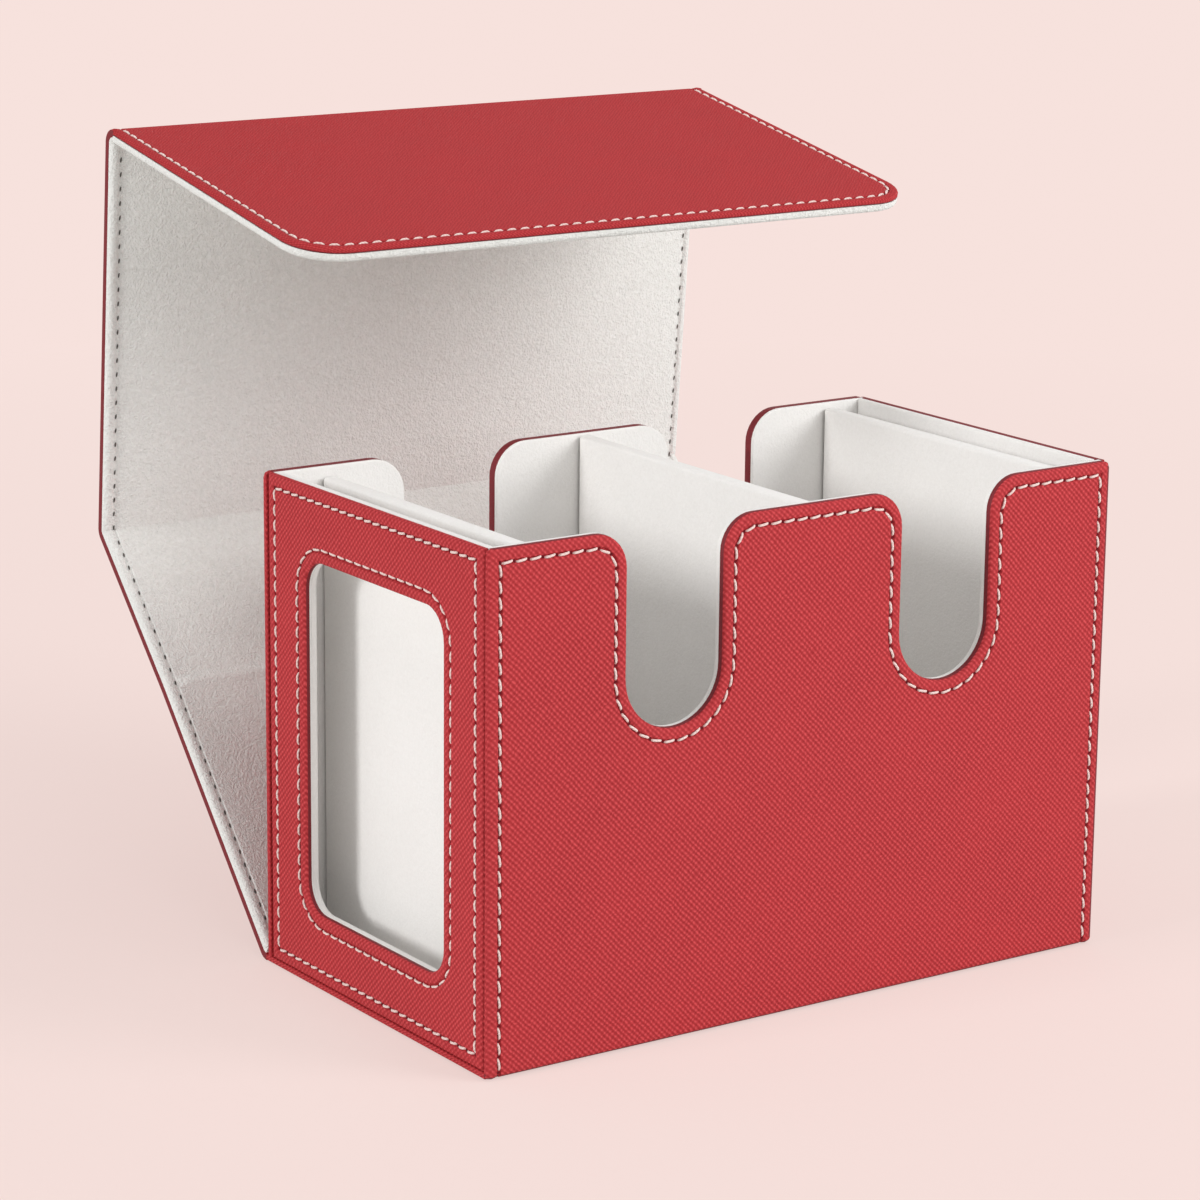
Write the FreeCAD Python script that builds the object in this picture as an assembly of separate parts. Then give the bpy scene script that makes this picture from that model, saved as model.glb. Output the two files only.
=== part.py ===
import FreeCAD, Part
import math
import os

os.makedirs("parts", exist_ok=True)

# Driving dimensions, in millimetres and degrees.

# Box, outside
box_length = 146.5
box_depth = 80.5
box_height = 100.0

# Wall, from the outside in: leather, board, lining
leather = 1.2
board = 1.2
lining = 0.6
turn_in = 0.8
edge_roll = 0.7
roll_limit_share = 0.9
seam_gap = 0.25
wall_corner_radius = 1.5

# Thumb notches in the front and back walls, two in each
notch_width = 21.7
notch_depth = 38.8
notch_offset = 32.0
tab_radius = 7.0

# Window in the left end
window_sill = 15.1
window_head = 14.4
window_side = 15.5
window_radius = 6.0

# Lid, folded back as it stands open
lid_gap = 0.6
fold_gap = 0.15
fold_core = 0.3
crease_drop = 37.6
flap_length = 78.2
flap_corner_radius = 10.0
lid_angle = 48.4
crease_angle = 2.05
top_fold_angle = 48.4
flap_fold_angle = 95.94

# Partition and dividers
divider_board = 1.6
divider_cover = 0.8
divider_roll = 0.7
divider_side_gap = 0.3
divider_foot_gap = 0.2
display_slot = 8.4
display_partition_drop = 2.0
centre_divider_drop = 0.3
end_slot = 6.0
end_divider_drop = 1.1

# Closing magnets, in the boards of the front wall and the flap
magnet_radius = 5.0
magnet_clearance = 0.1
magnet_offset = 45.0
magnet_edge = 14.0

# Seams
thread_width = 0.6
thread_height = 0.3
seam_inset = 2.8
hinge_seam_gap = 6.0
window_seam_inset = 2.6

# Working allowances
overrun = 5.0
same_place = 0.001

# Sizes that follow
wall = leather + board + lining
core = board + lining
half_length = box_length / 2
half_depth = box_depth / 2
inner_depth = box_depth - 2 * wall
lid_back_length = box_height + lid_gap - wall
lid_lower_length = lid_back_length - crease_drop
lid_top_length = box_depth + 2 * lid_gap
divider_thickness = divider_board + 2 * divider_cover
front_magnet_height = box_height + lid_gap - flap_length + magnet_edge

X_AXIS = FreeCAD.Vector(1, 0, 0)
Z_AXIS = FreeCAD.Vector(0, 0, 1)
ORIGIN = FreeCAD.Vector(0, 0, 0)


def save(name, solids, place=FreeCAD.Placement()):
    """Write one node: its solids, moved from the flat panel to their place."""
    shape = Part.makeCompound(solids) if len(solids) > 1 else solids[0].copy()
    shape.Placement = place.multiply(shape.Placement)
    shape.exportStep(os.path.join("parts", name + ".step"))


# Outlines, drawn flat with the panel's inner face up and its lower end at the front

def rounded_wire(corners):
    """Closed wire through corners of (x, y, radius), each rounded by its own arc."""
    points = [FreeCAD.Vector(x, y, 0) for x, y, radius in corners]
    starts, middles, ends = [], [], []
    for place, (x, y, radius) in enumerate(corners):
        corner = points[place]
        back = (points[place - 1] - corner).normalize()
        ahead = (points[(place + 1) % len(points)] - corner).normalize()
        half_turn = back.getAngle(ahead) / 2
        reach = radius / math.tan(half_turn)
        inward = (back + ahead).normalize()
        starts.append(corner + back * reach)
        ends.append(corner + ahead * reach)
        middles.append(corner + inward * (radius / math.sin(half_turn) - radius))
    edges = []
    for place, (x, y, radius) in enumerate(corners):
        following = starts[(place + 1) % len(points)]
        if radius > 0:
            edges.append(Part.Arc(starts[place], middles[place], ends[place]).toShape())
        if ends[place].distanceToPoint(following) > same_place:
            edges.append(Part.LineSegment(ends[place], following).toShape())
    return Part.Wire(edges)


def rounded_rectangle(left, right, low, high, radius):
    """Corners of a rectangle whose four corners have one radius."""
    return [(left, low, radius), (right, low, radius), (right, high, radius), (left, high, radius)]


def tabbed_wall(half_width, low, inset=0, low_inset=0):
    """Face of a wall with three tabs and two thumb notches along its top edge."""
    top = box_height - inset
    side = half_width - inset
    corner = max(wall_corner_radius - inset, 0)
    tab = max(tab_radius - inset, 0)
    floor = box_height - notch_depth - inset
    reach = notch_width / 2 + inset
    corners = [(-side, low + low_inset, 0), (side, low + low_inset, 0), (side, top, corner)]
    for centre in (notch_offset, -notch_offset):
        corners.append((centre + reach, top, tab))
        corners.append((centre + reach, floor, reach))
        corners.append((centre - reach, floor, reach))
        corners.append((centre - reach, top, tab))
    corners.append((-side, top, corner))
    return Part.Face(rounded_wire(corners))


def end_wall(half_width, low, inset=0):
    """Face of a plain end wall."""
    corner = max(wall_corner_radius - inset, 0)
    side = half_width - inset
    corners = rounded_rectangle(-side, side, low + inset, box_height - inset, corner)
    return Part.Face(rounded_wire(corners))


def window(margin=0):
    """Face of the window opening, grown by a margin."""
    half_width = half_depth - window_side + margin
    low = window_sill - margin
    high = box_height - window_head + margin
    corners = rounded_rectangle(-half_width, half_width, low, high, window_radius + margin)
    return Part.Face(rounded_wire(corners))


def strip_panel(half_width, low, high, inset=0):
    """Face of a plain panel between two folds."""
    side = half_width - inset
    return Part.Face(rounded_wire(rounded_rectangle(-side, side, low + inset, high - inset, 0)))


def flap_panel(low, inset=0, low_inset=0):
    """Face of the flap, with its two free corners rounded."""
    side = half_length - inset
    corner = max(flap_corner_radius - inset, 0)
    low, high = low + low_inset, flap_length - inset
    corners = [(-side, low, 0), (side, low, 0), (side, high, corner), (-side, high, corner)]
    return Part.Face(rounded_wire(corners))


# Panels

def plate(face, low, high):
    """A flat face made solid between two levels below the panel's inner face."""
    lowered = face.translated(FreeCAD.Vector(0, 0, low))
    return lowered.extrude(FreeCAD.Vector(0, 0, high - low))


def leather_plate(face, plain_lines=()):
    """Leather cover whose outer edges are rolled, except along lines where it meets the next sheet."""
    solid = plate(face, -wall, -core)
    rolled = []
    for edge in solid.Edges:
        box = edge.BoundBox
        on_outer_face = box.ZMax < same_place - wall
        on_line = any(abs(box.YMin - y) + abs(box.YMax - y) < same_place for y in plain_lines)
        if on_outer_face and not on_line:
            rolled.append(edge)
    return solid.makeFillet(min(edge_roll, leather * roll_limit_share), rolled)


def board_rim(outer, pocket):
    """The turned-over edge round a board that lies in its pocket."""
    return plate(outer, -core, -lining).cut(plate(pocket, -core, -lining))


def lining_tray(outer, pocket):
    """Lining with its edges turned over the board that lies in its pocket."""
    return plate(outer, -core, 0).cut(plate(pocket, -core, -lining))


def magnet_discs(centres, radius):
    """Discs as thick as the board, at places on a flat panel."""
    return [Part.makeCylinder(radius, board, FreeCAD.Vector(x, y, -core), Z_AXIS) for x, y in centres]


def seam(outer, inner):
    """Thread laid on the leather between two outlines."""
    return plate(outer.cut(inner), -wall - thread_height, -wall).Solids


def side_seams(low, high):
    """Two straight seams along the sides of a lid panel."""
    side = half_length - seam_inset
    return seam(strip_panel(side, low, high), strip_panel(side - thread_width, low - overrun, high + overrun))


def save_panel(name, place, cover, outer, pocket, plain_lines=(), magnets=(), leather_turned=False):
    """The three sheets of a panel, with leather or lining turned over the board, and discs let into it."""
    outside = leather_plate(cover, plain_lines)
    inside = lining_tray(outer, pocket)
    if leather_turned:
        outside = outside.fuse(board_rim(outer, pocket)).removeSplitter()
        inside = plate(outer, -lining, 0)
    save(name + "_leather", [outside], place)
    save(name + "_lining", [inside], place)
    stiffener = plate(pocket, -core, -lining)
    if magnets:
        stiffener = stiffener.cut(magnet_discs(magnets, magnet_radius + magnet_clearance))
        save(name + "_magnets", magnet_discs(magnets, magnet_radius), place)
    save(name + "_board", [stiffener], place)


def upright(turn, inner_face):
    """Stand a flat panel up, turn it about the vertical and push its inner face to its place."""
    spin = FreeCAD.Rotation(Z_AXIS, turn).multiply(FreeCAD.Rotation(X_AXIS, 90))
    return FreeCAD.Placement(inner_face, spin)


# Box

def make_base():
    """Base: the leather runs out under the back wall to the lid's fold."""
    place = FreeCAD.Placement(FreeCAD.Vector(0, 0, wall), FreeCAD.Rotation())
    rear = half_depth + lid_gap - fold_gap
    cover = strip_panel(half_length, -half_depth, rear)
    outer = strip_panel(half_length - leather, leather - half_depth, half_depth - leather)
    pocket = strip_panel(half_length - leather, leather - half_depth, half_depth - leather, turn_in)
    save_panel("base", place, cover, outer, pocket, [rear])


def make_tabbed_wall(name, place, magnets=()):
    """Front or back wall, across the full length of the box."""
    cover = tabbed_wall(half_length, leather)
    outer = tabbed_wall(half_length - leather, wall)
    pocket = tabbed_wall(half_length - leather, wall, turn_in, turn_in)
    save_panel(name, place, cover, outer, pocket, [leather], magnets, leather_turned=True)
    line = tabbed_wall(half_length, leather, seam_inset)
    inside = tabbed_wall(half_length, leather - overrun, seam_inset + thread_width)
    save(name + "_stitching", seam(line, inside), place)


def end_sheets():
    """Outlines of an end wall's leather, lining, board pocket, and both sides of its border seam."""
    cover_half = half_depth - leather - seam_gap
    cover_low = leather + seam_gap
    core_half = half_depth - wall
    cover = end_wall(cover_half, cover_low)
    outer = strip_panel(core_half, wall, box_height)
    pocket = strip_panel(core_half, wall, box_height, turn_in)
    line = end_wall(cover_half, cover_low, seam_inset)
    inside = end_wall(cover_half, cover_low, seam_inset + thread_width)
    return cover, outer, pocket, line, inside


def make_window_end():
    """Left end, with the window cut through all its sheets."""
    place = upright(90, FreeCAD.Vector(wall - half_length, 0, 0))
    cover, outer, pocket, line, inside = end_sheets()
    cover, outer, pocket = cover.cut(window()), outer.cut(window()), pocket.cut(window(turn_in))
    save_panel("window_end", place, cover.Faces[0], outer.Faces[0], pocket.Faces[0], leather_turned=True)
    save("window_end_stitching", seam(line, inside), place)
    rim = seam(window(window_seam_inset + thread_width), window(window_seam_inset))
    save("window_rim_stitching", rim, place)


def make_plain_end():
    """Right end, with no opening."""
    place = upright(-90, FreeCAD.Vector(half_length - wall, 0, 0))
    cover, outer, pocket, line, inside = end_sheets()
    save_panel("plain_end", place, cover, outer, pocket, leather_turned=True)
    save("plain_end_stitching", seam(line, inside), place)


def make_divider(name, left, drop, side_gap, foot_gap):
    """Upright sheet across the box: a board in a cover that is open underneath."""
    low = wall + foot_gap
    height = box_height - drop - low
    depth = inner_depth - 2 * side_gap
    corner = FreeCAD.Vector(left, -depth / 2, low)
    cover = Part.makeBox(divider_thickness, depth, height, corner)
    top_edges = [edge for edge in cover.Edges if edge.BoundBox.ZMin > low + height - same_place]
    cover = cover.makeFillet(min(divider_roll, divider_cover * roll_limit_share), top_edges)
    inside = corner + FreeCAD.Vector(divider_cover, divider_cover, 0)
    stiffener = Part.makeBox(divider_board, depth - 2 * divider_cover, height - divider_cover, inside)
    save(name + "_cover", [cover.cut(stiffener)])
    save(name + "_board", [stiffener])


def make_dividers():
    """Display partition behind the window, and the two loose dividers."""
    partition_left = wall + display_slot - half_length
    centre_left = -divider_thickness / 2
    end_left = half_length - wall - end_slot - divider_thickness
    make_divider("display_partition", partition_left, display_partition_drop, 0, 0)
    make_divider("centre_divider", centre_left, centre_divider_drop, divider_side_gap, divider_foot_gap)
    make_divider("end_divider", end_left, end_divider_drop, divider_side_gap, divider_foot_gap)


# Lid

def folded(angle, start):
    """Place of a flat lid panel whose lower inner edge starts at a point and rises at an angle."""
    return FreeCAD.Placement(start, FreeCAD.Rotation(X_AXIS, angle))


def along(place, distance, depth=0):
    """Point at a distance along a placed panel, at a level on or below its inner face."""
    return place.multVec(FreeCAD.Vector(0, distance, depth))


def save_fold(name, axis, first_angle, last_angle):
    """Soft fold round an axis on the lining side, between two panels' outer directions."""
    for sheet, near, far in (("leather", core, wall), ("lining", fold_core, core)):
        section = rounded_rectangle(-half_length, half_length, near, far, 0)
        strip = Part.Face(rounded_wire(section)).revolve(ORIGIN, X_AXIS, last_angle - first_angle)
        place = FreeCAD.Placement(axis, FreeCAD.Rotation(X_AXIS, first_angle - 90))
        save(name + "_" + sheet, [strip], place)


def make_lid_panel(name, place, length, seam_low=fold_gap):
    """Lid panel between two folds, with a seam along each side from a level upwards."""
    low, high = fold_gap, length - fold_gap
    cover = strip_panel(half_length, low, high)
    pocket = strip_panel(half_length, low, high, turn_in)
    save_panel(name, place, cover, cover, pocket, [low, high])
    save(name + "_stitching", side_seams(seam_low, high), place)


def make_flap(place):
    """Front flap with its magnets near the free edge."""
    cover = flap_panel(fold_gap)
    pocket = flap_panel(fold_gap, turn_in, turn_in)
    level = flap_length - magnet_edge
    magnets = [(-magnet_offset, level), (magnet_offset, level)]
    save_panel("flap", place, cover, cover, pocket, [fold_gap], magnets)
    line = flap_panel(fold_gap, seam_inset)
    inside = flap_panel(fold_gap - overrun, seam_inset + thread_width)
    save("flap_stitching", seam(line, inside), place)


def make_lid():
    """Lid panels laid end to end from the base fold, each at its own fold angle."""
    upper_angle = lid_angle - crease_angle
    top_angle = upper_angle + top_fold_angle
    flap_angle = top_angle + flap_fold_angle
    hinge = FreeCAD.Vector(0, half_depth + lid_gap, wall)
    lower = folded(lid_angle, hinge)
    crease = along(lower, lid_lower_length, -wall)
    upper = folded(upper_angle, crease + along(folded(upper_angle, ORIGIN), 0, wall))
    top = folded(top_angle, along(upper, crease_drop))
    flap = folded(flap_angle, along(top, lid_top_length))
    make_lid_panel("lid_lower", lower, lid_lower_length, hinge_seam_gap)
    make_lid_panel("lid_upper", upper, crease_drop)
    make_lid_panel("lid_top", top, lid_top_length)
    make_flap(flap)
    save_fold("base_fold", hinge, 0, lid_angle)
    save_fold("top_spine", top.Base, upper_angle, top_angle)
    save_fold("flap_spine", flap.Base, top_angle, flap_angle)
    axes = {"hinge": hinge, "crease": crease, "top fold": top.Base, "flap fold": flap.Base}
    for label, point in axes.items():
        print(label, "axis at y", round(point.y, 4), "z", round(point.z, 4))


def main():
    """All the pieces, from the base up."""
    front_magnets = [(-magnet_offset, front_magnet_height), (magnet_offset, front_magnet_height)]
    make_base()
    make_tabbed_wall("front_wall", upright(180, FreeCAD.Vector(0, wall - half_depth, 0)), front_magnets)
    make_tabbed_wall("back_wall", upright(0, FreeCAD.Vector(0, half_depth - wall, 0)))
    make_window_end()
    make_plain_end()
    make_dividers()
    make_lid()


main()
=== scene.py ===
import logging
import math
from contextlib import contextmanager
from dataclasses import dataclass
from enum import Enum
from functools import lru_cache
from typing import Any, Callable, Dict, Iterator, List, Optional, Sequence, Tuple, Union

import bmesh
import bpy
from mathutils import Euler, Matrix, Vector


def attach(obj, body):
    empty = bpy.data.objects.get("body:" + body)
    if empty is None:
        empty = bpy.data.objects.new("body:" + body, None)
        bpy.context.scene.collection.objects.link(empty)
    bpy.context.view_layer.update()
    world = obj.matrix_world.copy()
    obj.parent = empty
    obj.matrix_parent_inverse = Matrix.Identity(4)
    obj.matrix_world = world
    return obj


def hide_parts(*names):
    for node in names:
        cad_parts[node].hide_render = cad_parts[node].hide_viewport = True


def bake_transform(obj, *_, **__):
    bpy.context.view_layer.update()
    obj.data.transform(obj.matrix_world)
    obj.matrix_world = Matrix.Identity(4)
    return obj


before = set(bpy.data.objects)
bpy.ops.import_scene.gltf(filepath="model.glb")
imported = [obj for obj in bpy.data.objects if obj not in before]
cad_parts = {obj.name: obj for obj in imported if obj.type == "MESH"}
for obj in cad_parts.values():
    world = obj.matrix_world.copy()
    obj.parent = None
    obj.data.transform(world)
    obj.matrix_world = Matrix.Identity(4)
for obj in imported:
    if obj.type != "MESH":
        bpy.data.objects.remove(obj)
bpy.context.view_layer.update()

MM = 0.001
UV_SPAN = 100.0  # Millimetres of a panel for each unit of its map
NEAR = 0.01  # Tolerance of a place, in millimetres
FACING = 0.999  # Least height of a flat face's normal
SIDEWARD = 0.9  # Least part of a normal that points to one side
TOUCHING = 0.0005  # Points this near, in millimetres, become one
SOFT_ANGLE = 45.0  # Edges up to this many degrees look soft
log = logging.getLogger("card_box")

Colour = Tuple[float, float, float, float]
Test = Callable[[Any], bool]


def ink(code: str) -> Colour:
    """Linear colour, as shaders take it, of a screen colour in six hexadecimal digits."""
    channels = [int(code[place:place + 2], 16) / 255 for place in (0, 2, 4)]
    linear = [c / 12.92 if c <= 0.04045 else ((c + 0.055) / 1.055) ** 2.4 for c in channels]
    return linear[0], linear[1], linear[2], 1.0


# Shader maths


def joins(operation: str, swapped: bool = False) -> Callable[["Wire", "Operand"], "Wire"]:
    """Method of a wire that combines it with an operand, which comes first if they are swapped."""
    def combine(wire: "Wire", other: "Operand") -> "Wire":
        """Add the Math node."""
        return wire.calc(operation, other, wire) if swapped else wire.calc(operation, wire, other)
    return combine


class Wire:
    """One output of a material's nodes, used in plain arithmetic."""

    def __init__(self, recipe: "Recipe", socket: bpy.types.NodeSocket) -> None:
        """Keep the socket and the recipe that its nodes belong to."""
        self.recipe = recipe
        self.socket = socket

    def calc(self, operation: str, first: "Operand", second: "Operand" = 0.0) -> "Wire":
        """Result of one Math node with these operands."""
        node = self.recipe.node("ShaderNodeMath", {"operation": operation}, {0: first, 1: second})
        return Wire(self.recipe, node.outputs[0])

    __add__ = __radd__ = joins("ADD")
    __sub__, __rsub__ = joins("SUBTRACT"), joins("SUBTRACT", True)
    __mul__ = __rmul__ = joins("MULTIPLY")
    __truediv__ = joins("DIVIDE")
    __pow__ = joins("POWER")

    def wave(self) -> "Wire":
        """A crest for each whole number, between 0 and 1."""
        return self.calc("COSINE", self * math.tau) * 0.5 + 0.5

    def capped(self) -> "Wire":
        """The value, kept at or below 1."""
        return self.calc("MINIMUM", self, 1.0)


Operand = Union[Wire, float]
Setting = Union[Wire, float, Tuple[float, ...]]


class Recipe:
    """A material's node tree, with one way to add a node."""

    def __init__(self, name: str, tree: Optional[bpy.types.NodeTree] = None) -> None:
        """Start an empty tree.

        Args:
            name: Name of the material to make.
            tree: A tree to fill instead, such as the world's.
        """
        self.material: Optional[bpy.types.Material] = None
        if tree is None:
            self.material = bpy.data.materials.new(name)
            self.material.use_nodes = True
            tree = self.material.node_tree
        self.tree = tree
        self.tree.nodes.clear()

    def node(self, kind: str, settings: Optional[Dict[str, Any]] = None,
             sockets: Optional[Dict[Union[int, str], Setting]] = None) -> bpy.types.Node:
        """Add a node, set it up, then fill its sockets.

        Args:
            kind: The node's type.
            settings: The node's own properties.
            sockets: Values or wires for its inputs, by name or place.

        Returns:
            The new node.
        """
        made = self.tree.nodes.new(kind)
        for name, value in (settings or {}).items():
            setattr(made, name, value)
        for key, value in (sockets or {}).items():
            if isinstance(value, Wire):
                self.tree.links.new(value.socket, made.inputs[key])
            else:
                made.inputs[key].default_value = value
        return made

    def out(self, made: bpy.types.Node, output: Union[int, str] = 0) -> Wire:
        """One output of a node."""
        return Wire(self, made.outputs[output])

    def mix(self, share: Operand, first: Setting, second: Setting) -> Wire:
        """Blend of two colours, the first at share 0 and the second at share 1."""
        made = self.node("ShaderNodeMix", {"data_type": "RGBA"}, {0: share, 6: first, 7: second})
        return self.out(made, 2)

    def noise(self, place: Wire, scale: float, detail: float = 2.0, roughness: float = 0.5) -> Wire:
        """Noise from 0 to 1, with its features per unit, its octaves and the weight of the finer ones."""
        sockets = {"Vector": place, "Scale": scale, "Detail": detail, "Roughness": roughness}
        return self.out(self.node("ShaderNodeTexNoise", {}, sockets))

    def place(self) -> Wire:
        """Coordinates of the piece itself, in metres."""
        return self.out(self.node("ShaderNodeTexCoord"), "Object")

    def mark(self, name: str) -> Wire:
        """A mark that the piece's points carry, from 0 to 1."""
        return self.out(self.node("ShaderNodeAttribute", {"attribute_name": name}), "Fac")

    def flat(self) -> Tuple[Wire, Wire, Wire]:
        """Coordinates on the panel as it lay flat: the vector, and both lengths in millimetres."""
        laid = self.out(self.node("ShaderNodeUVMap", {"uv_map": "flat"}))
        parts = self.node("ShaderNodeSeparateXYZ", {}, {0: laid})
        return laid, self.out(parts, 0) * UV_SPAN, self.out(parts, 1) * UV_SPAN

    def bump(self, height: Wire, depth: float) -> Wire:
        """Normal of a relief from 0 to 1, with its depth in metres."""
        sockets = {"Height": height, "Distance": depth, "Strength": 1.0}
        return self.out(self.node("ShaderNodeBump", {}, sockets))

    def straight_rays(self) -> Wire:
        """1 for what the camera sees, also in a mirror or through glass."""
        path = self.node("ShaderNodeLightPath")
        seen = self.out(path, "Is Camera Ray") + self.out(path, "Is Glossy Ray")
        return (seen + self.out(path, "Is Transmission Ray")).capped()

    def surface(self, sockets: Dict[Union[int, str], Setting]) -> bpy.types.Material:
        """The finished material, closed with one surface shader that has these inputs."""
        shader = self.node("ShaderNodeBsdfPrincipled", {}, sockets)
        self.node("ShaderNodeOutputMaterial", {}, {"Surface": self.out(shader)})
        return self.material


# Finishes


@dataclass(frozen=True)
class LeatherFinish:
    """Red leather pressed with fine slanting ridges, crossed by weaker ones and calmer along its seams."""

    name: str = "red_leather"
    pit: str = "8A1D23"
    body: str = "A62A2F"
    ridge: str = "D85054"
    ridge_pitch: float = 0.843
    cross_pitch: float = 0.91
    relief: float = 0.00015
    roughness: float = 0.62
    gloss: float = 0.09

    @lru_cache(maxsize=None)
    def material(self) -> bpy.types.Material:
        """The leather's material."""
        recipe = Recipe(self.name)
        laid, across, along = recipe.flat()
        border = recipe.mark("border")
        groove = recipe.mark("groove")
        wander = (recipe.noise(laid, 28.0, 2.0) - 0.5) * 0.6
        stray = (recipe.noise(laid, 70.0, 2.0) - 0.5) * 1.6
        slant = 1 / math.sqrt(2)
        ridge = ((across - along) * (slant / self.ridge_pitch) + wander).wave() ** 1.3
        cross = ((across + along) * (slant / self.cross_pitch) + stray).wave()
        speck = recipe.noise(laid, 230.0, 1.0)
        cells = ridge * (0.4 + 0.36 * cross) + cross * 0.2
        grain = cells * (1 - border * 0.1) + border * 0.02 + speck * 0.28
        cloud = recipe.noise(laid, 5.0, 3.0)
        low = recipe.mix(cloud, ink(self.pit), ink(self.body))
        # Less of the light ridge colour on the seam channel's floor, so it is darker there: painted shade in
        # the channel.
        share = grain * 0.95 * (1 - groove * 0.6)
        return recipe.surface({
            "Base Color": recipe.mix(share.capped(), low, ink(self.ridge)),
            "Roughness": self.roughness + cloud * 0.08 - grain * 0.08,
            "Specular IOR Level": self.gloss,
            "Normal": recipe.bump(grain, self.relief),
        })


@dataclass(frozen=True)
class FleckFinish:
    """A plain surface with fine flecks: cut leather, needle holes, board or metal; the first three are also
    laid on as painted shade.
    """

    name: str
    dark: str
    light: str
    scale: float
    detail: float
    roughness: float
    rough_span: float
    gloss: float = 0.5
    relief: float = 0.0
    metallic: float = 0.0
    weight: float = 0.5

    @lru_cache(maxsize=None)
    def material(self) -> bpy.types.Material:
        """The surface's material."""
        recipe = Recipe(self.name)
        fleck = recipe.noise(recipe.place(), self.scale, self.detail, self.weight)
        sockets: Dict[Union[int, str], Setting] = {
            "Base Color": recipe.mix(fleck, ink(self.dark), ink(self.light)),
            "Roughness": self.roughness + fleck * self.rough_span,
            "Specular IOR Level": self.gloss,
            "Metallic": self.metallic,
        }
        if self.relief:
            sockets["Normal"] = recipe.bump(fleck, self.relief)
        return recipe.surface(sockets)


@dataclass(frozen=True)
class LiningFinish:
    """White brushed microfibre with a short nap."""

    name: str = "white_lining"
    shade: str = "DEDED9"
    light: str = "FFFFFC"
    nap: float = 0.0004
    contrast: float = 0.8

    @lru_cache(maxsize=None)
    def material(self) -> bpy.types.Material:
        """The lining's material."""
        recipe = Recipe(self.name)
        place = recipe.place()
        fine = recipe.noise(place, 2200.0, 2.0, 0.6) - 0.5
        tuft = recipe.noise(place, 1050.0, 2.0, 0.6) - 0.5
        brushed = recipe.noise(place, 60.0, 3.0) - 0.5
        pile = fine * 0.9 + tuft * 0.8
        share = (0.62 + pile * self.contrast + brushed * 0.2).capped()
        return recipe.surface({
            "Base Color": recipe.mix(share, ink(self.shade), ink(self.light)),
            "Roughness": 0.9 + tuft * 0.1,
            "Specular IOR Level": 0.1,
            "Sheen Weight": 0.1,
            "Sheen Roughness": 0.5,
            "Normal": recipe.bump(pile, self.nap),
        })


@dataclass(frozen=True)
class ThreadFinish:
    """Off-white sewing thread with its twist."""

    name: str = "seam_thread"
    shade: str = "E3C2BC"
    light: str = "FCEAE4"
    turns: float = 3.5
    length: float = 2.7

    @lru_cache(maxsize=None)
    def material(self) -> bpy.types.Material:
        """The thread's material."""
        recipe = Recipe(self.name)
        _, along, around = recipe.flat()
        twist = (along * (self.turns / self.length) + around * 0.5).wave()
        fuzz = recipe.noise(recipe.place(), 3000.0, 1.0)
        share = (twist * 0.7 + fuzz * 0.4).capped()
        return recipe.surface({
            "Base Color": recipe.mix(share, ink(self.shade), ink(self.light)),
            "Roughness": 0.62 + fuzz * 0.15,
            "Specular IOR Level": 0.25,
            "Normal": recipe.bump(twist, 0.00004),
        })


@dataclass(frozen=True)
class FloorFinish:
    """Pale pink paper sweep, which shows the camera most of its own colour and softens the shadow."""

    name: str = "pink_floor"
    colour: str = "F7E2DD"
    tooth: str = "F3DDD8"
    bounce: str = "EBE8E5"
    own_share: float = 0.7
    clear_from: float = 0.7

    @lru_cache(maxsize=None)
    def material(self) -> bpy.types.Material:
        """The floor's material."""
        recipe = Recipe(self.name)
        tooth = recipe.noise(recipe.place(), 400.0, 2.0)
        paper = recipe.mix(tooth * 0.1, ink(self.colour), ink(self.tooth))
        seen = recipe.straight_rays()
        lit = recipe.node("ShaderNodeBsdfDiffuse", {}, {"Color": recipe.mix(seen, ink(self.bounce), paper)})
        own = recipe.node("ShaderNodeEmission", {}, {"Color": paper, "Strength": 1.0})
        length = recipe.node("ShaderNodeVectorMath", {"operation": "LENGTH"}, {0: recipe.place()})
        far = (recipe.out(length, "Value") / self.clear_from).capped() ** 2.0
        share = seen * (far * (1.0 - self.own_share) + self.own_share)
        mixed = recipe.node("ShaderNodeMixShader", {}, {0: share, 1: recipe.out(lit), 2: recipe.out(own)})
        recipe.node("ShaderNodeOutputMaterial", {}, {"Surface": recipe.out(mixed)})
        return recipe.material


LEATHER = LeatherFinish()
# The lid's leather has finer relief and less gloss of its own; its colours are a little darker than the
# walls' as painted shade.
LID_LEATHER = LeatherFinish("lid_leather", "891B21", "A3272C", "CF4A4D", relief=0.0001, gloss=0.07)
# Dark red of the leather's cut edges; it is also painted on as shade: on rolls that turn away, on the line
# where leather meets lining, along the box's foot and on the cover turned over the walls' edges.
CUT_EDGE_AND_SHADE = FleckFinish("leather_edge", "6C1D25", "86282F", 900.0, 2.0, 0.5, 0.2, 0.3, 0.00005)
LINING = LiningFinish()
FLAT_LINING = LiningFinish("flat_lining", "E4E1DD", "FFFDFB", 0.0001, 0.35)
THREAD = ThreadFinish()
# Needle holes are painted dark: painted shade in the holes and round the thread's ends.
NEEDLE_HOLE_SHADE = FleckFinish("needle_hole", "54141A", "702027", 1500.0, 1.0, 0.8, 0.1, 0.1)
# Dashes on the lining are painted dark grey: painted shade in the needle holes.
DASH_SHADE = FleckFinish("needle_dash_shade", "4F4B48", "6C6763", 1500.0, 1.0, 0.8, 0.1, 0.1)
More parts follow.
